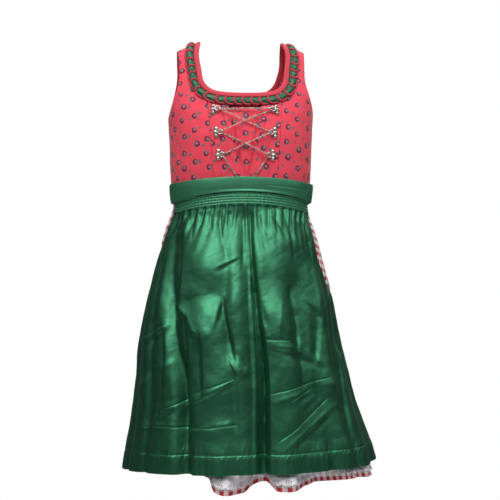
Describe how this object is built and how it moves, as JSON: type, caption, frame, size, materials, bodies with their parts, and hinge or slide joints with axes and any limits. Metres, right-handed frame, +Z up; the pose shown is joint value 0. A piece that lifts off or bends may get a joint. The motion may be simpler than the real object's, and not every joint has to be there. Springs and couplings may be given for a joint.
{
  "type": "child's dirndl with apron",
  "caption": "Sleeveless folk dress in its worn form: printed bodice with chain lacing, scoop neck with ruched trim, gathered gingham skirt with lace, and a satin apron tied behind.",
  "frame": {"origin": "midway between the two shoulder straps at shoulder height, where the wearer holds the dress", "axes": "+Z up, the front of the dress faces -Y, +X is towards the viewer's right when the front is seen"},
  "size_m": [0.4033, 0.3386, 0.6968],
  "materials": {
    "printed_cotton": "matte printed cotton",
    "plain_cotton": "matte plain cotton",
    "green_satin": "glossy satin",
    "gingham_cotton": "matte woven check",
    "white_lace": "matte eyelet lace",
    "antique_silver": "cast and darkened"
  },
  "bodies": {
    "root": {"bodice_side_front_left": "printed_cotton", "bodice_side_front_right": "printed_cotton", "bodice_centre_front_left": "printed_cotton", "bodice_centre_front_right": "printed_cotton", "bodice_back_left": "printed_cotton", "bodice_back_right": "printed_cotton", "bodice_insert": "printed_cotton", "neck_binding": "plain_cotton", "neck_braid": "green_satin", "hook_top_left": "antique_silver", "hook_top_right": "antique_silver", "hook_middle_left": "antique_silver", "hook_middle_right": "antique_silver", "hook_bottom_left": "antique_silver", "hook_bottom_right": "antique_silver", "lacing_chain": "antique_silver", "skirt_front": "gingham_cotton", "skirt_back": "gingham_cotton", "lace_front": "white_lace", "lace_back": "white_lace", "apron_skirt": "green_satin", "apron_shirring": "green_satin", "apron_waistband": "green_satin", "tie_right": "green_satin", "tie_left": "green_satin", "bow_knot": "green_satin", "bow_loop_right": "green_satin", "bow_loop_left": "green_satin", "tie_end_right": "green_satin", "tie_end_left": "green_satin"}
  },
  "joints": []
}
